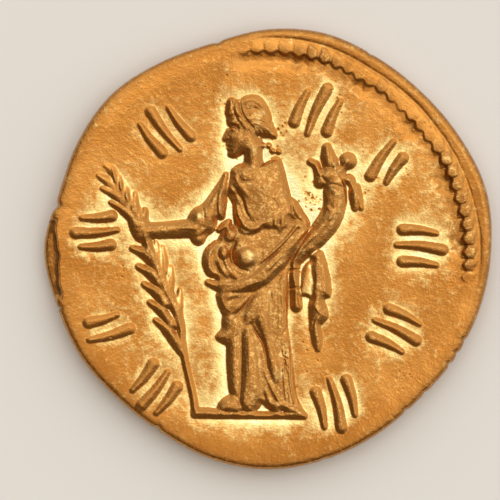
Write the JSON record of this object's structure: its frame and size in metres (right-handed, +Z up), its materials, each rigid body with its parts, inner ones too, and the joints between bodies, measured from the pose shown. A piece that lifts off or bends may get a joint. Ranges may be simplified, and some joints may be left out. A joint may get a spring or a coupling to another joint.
{
  "type": "gold coin",
  "caption": "Hand-struck ancient gold coin on an uneven round flan, with a standing draped figure holding a palm branch and a horn of plenty.",
  "frame": {"origin": "middle of the coin's bounding box, on the plane it lies on", "axes": "+Z is up through the coin's thickness, out of the face with the standing figure; +Y points to the top of that face and +X to its right"},
  "size_m": [0.02, 0.0198, 0.0018],
  "materials": {
    "gold": "worn satin gold, warm orange-yellow, with brown tone in the recesses"
  },
  "bodies": {
    "root": {"coin": "gold"}
  },
  "joints": []
}
